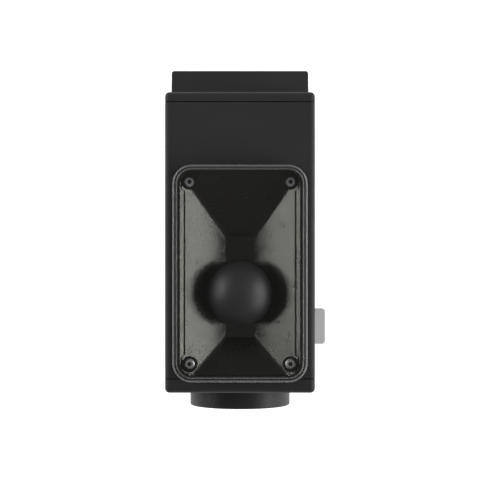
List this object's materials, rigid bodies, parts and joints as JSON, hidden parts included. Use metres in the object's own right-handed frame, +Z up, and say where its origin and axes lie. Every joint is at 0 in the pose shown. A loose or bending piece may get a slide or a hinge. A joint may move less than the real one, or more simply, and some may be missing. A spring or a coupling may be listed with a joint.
{
  "type": "burr coffee grinder",
  "caption": "Boxy motor housing on a rear column, with a clear-lidded hopper on top, a front grind dial, a knocker lever and a catch cup on the base.",
  "frame": {"origin": "on the table, on the middle plane, at the middle of the base plate", "axes": "+Z up, -Y towards the dial at the front, +X to the right of someone facing the front"},
  "size_m": [0.1165, 0.246, 0.253],
  "materials": {
    "coat": "die-cast, with a fine-textured black powder coat",
    "knob": "satin black anodised",
    "cast": "as cast, machined seats",
    "steel": "ground tool steel",
    "zinc": "bright zinc",
    "hopper_plastic": "smooth black",
    "dome_plastic": "satin black",
    "clear": "smoke clear, polished",
    "dark_plastic": "moulded",
    "grey_plastic": "light grey, moulded",
    "rubber": "matt",
    "copper": "enamelled wire",
    "lamination": "stacked steel sheet",
    "board": "green resist",
    "magnet": "nickel plated"
  },
  "bodies": {
    "body": {"base_magnet": "magnet", "base_plate": "coat", "base_screws": "zinc", "board_bracket": "zinc", "board_components": "dark_plastic", "board_screws": "zinc", "burr_chamber": "cast", "button_switch": "dark_plastic", "chute": "dark_plastic", "column": "coat", "control_board": "board", "cord_gland": "rubber", "detent_ball": "steel", "detent_spring": "steel", "feed_dome": "dome_plastic", "foot_pad": "rubber", "front_bearing": "steel", "front_plate": "coat", "guide_pins": "steel", "hopper": "hopper_plastic", "hopper_lugs": "cast", "hopper_screws": "zinc", "housing_screws": "zinc", "housing_shell": "coat", "knocker_bracket": "cast", "knocker_pin": "steel", "knocker_spring": "steel", "lid_gasket": "rubber", "motor_can": "coat", "motor_cradle": "cast", "motor_front_bell": "cast", "motor_rear_bell": "cast", "plate_screws": "zinc", "rear_bearing": "steel", "rear_cover": "coat", "rear_cover_screws": "zinc", "rear_plate": "coat", "shaft_seal": "rubber", "stator": "lamination", "windings": "copper"},
    "dial": {"dial": "knob", "dial_screw": "zinc", "adjusting_spindle": "steel"},
    "burr_slider": {"fixed_carrier": "cast", "fixed_burr": "steel", "fixed_burr_screws": "zinc"},
    "rotor_line": {"drive_shaft": "steel", "auger": "steel", "rotating_carrier": "cast", "rotating_burr": "steel", "rotating_burr_screws": "zinc", "carrier_nut": "zinc", "rotor": "magnet"},
    "knocker": {"knocker_arm": "grey_plastic", "knocker_hammer": "rubber"},
    "button": {"start_button": "knob"},
    "lid": {"lid": "clear"},
    "cup": {"grounds_cup": "coat", "cup_lid": "coat", "cup_magnet": "magnet"}
  },
  "joints": [
    {"name": "lid_lift", "type": "slide", "parent": "body", "child": "lid", "axis": [0, 0, 1], "range_m": [0, 0.06]},
    {"name": "dial_turn", "type": "hinge", "parent": "body", "child": "dial", "pos_m": [0, -0.12, 0.174], "axis": [0, 1, 0], "range_deg": [0, 330]},
    {"name": "burr_adjust", "type": "slide", "parent": "body", "child": "burr_slider", "axis": [0, 1, 0], "range_m": [-0.0014, 0]},
    {"name": "burr_spin", "type": "hinge", "parent": "body", "child": "rotor_line", "pos_m": [0, -0.05, 0.174], "axis": [0, 1, 0], "continuous": true},
    {"name": "knocker_swing", "type": "hinge", "parent": "body", "child": "knocker", "pos_m": [0.036, -0.0734, 0.138], "axis": [0, 1, 0], "range_deg": [0, 14], "stiffness_Nm_per_rad": 0.2},
    {"name": "button_press", "type": "slide", "parent": "body", "child": "button", "axis": [-1, 0, 0], "range_m": [0, 0.001], "stiffness_N_per_m": 400},
    {"name": "cup_slide", "type": "slide", "parent": "body", "child": "cup", "axis": [0, -1, 0], "range_m": [0, 0.12]}
  ],
  "couplings": [
    {"joint": "burr_adjust", "follows": "dial_turn", "m_per_rad": -0.00024307}
  ]
}
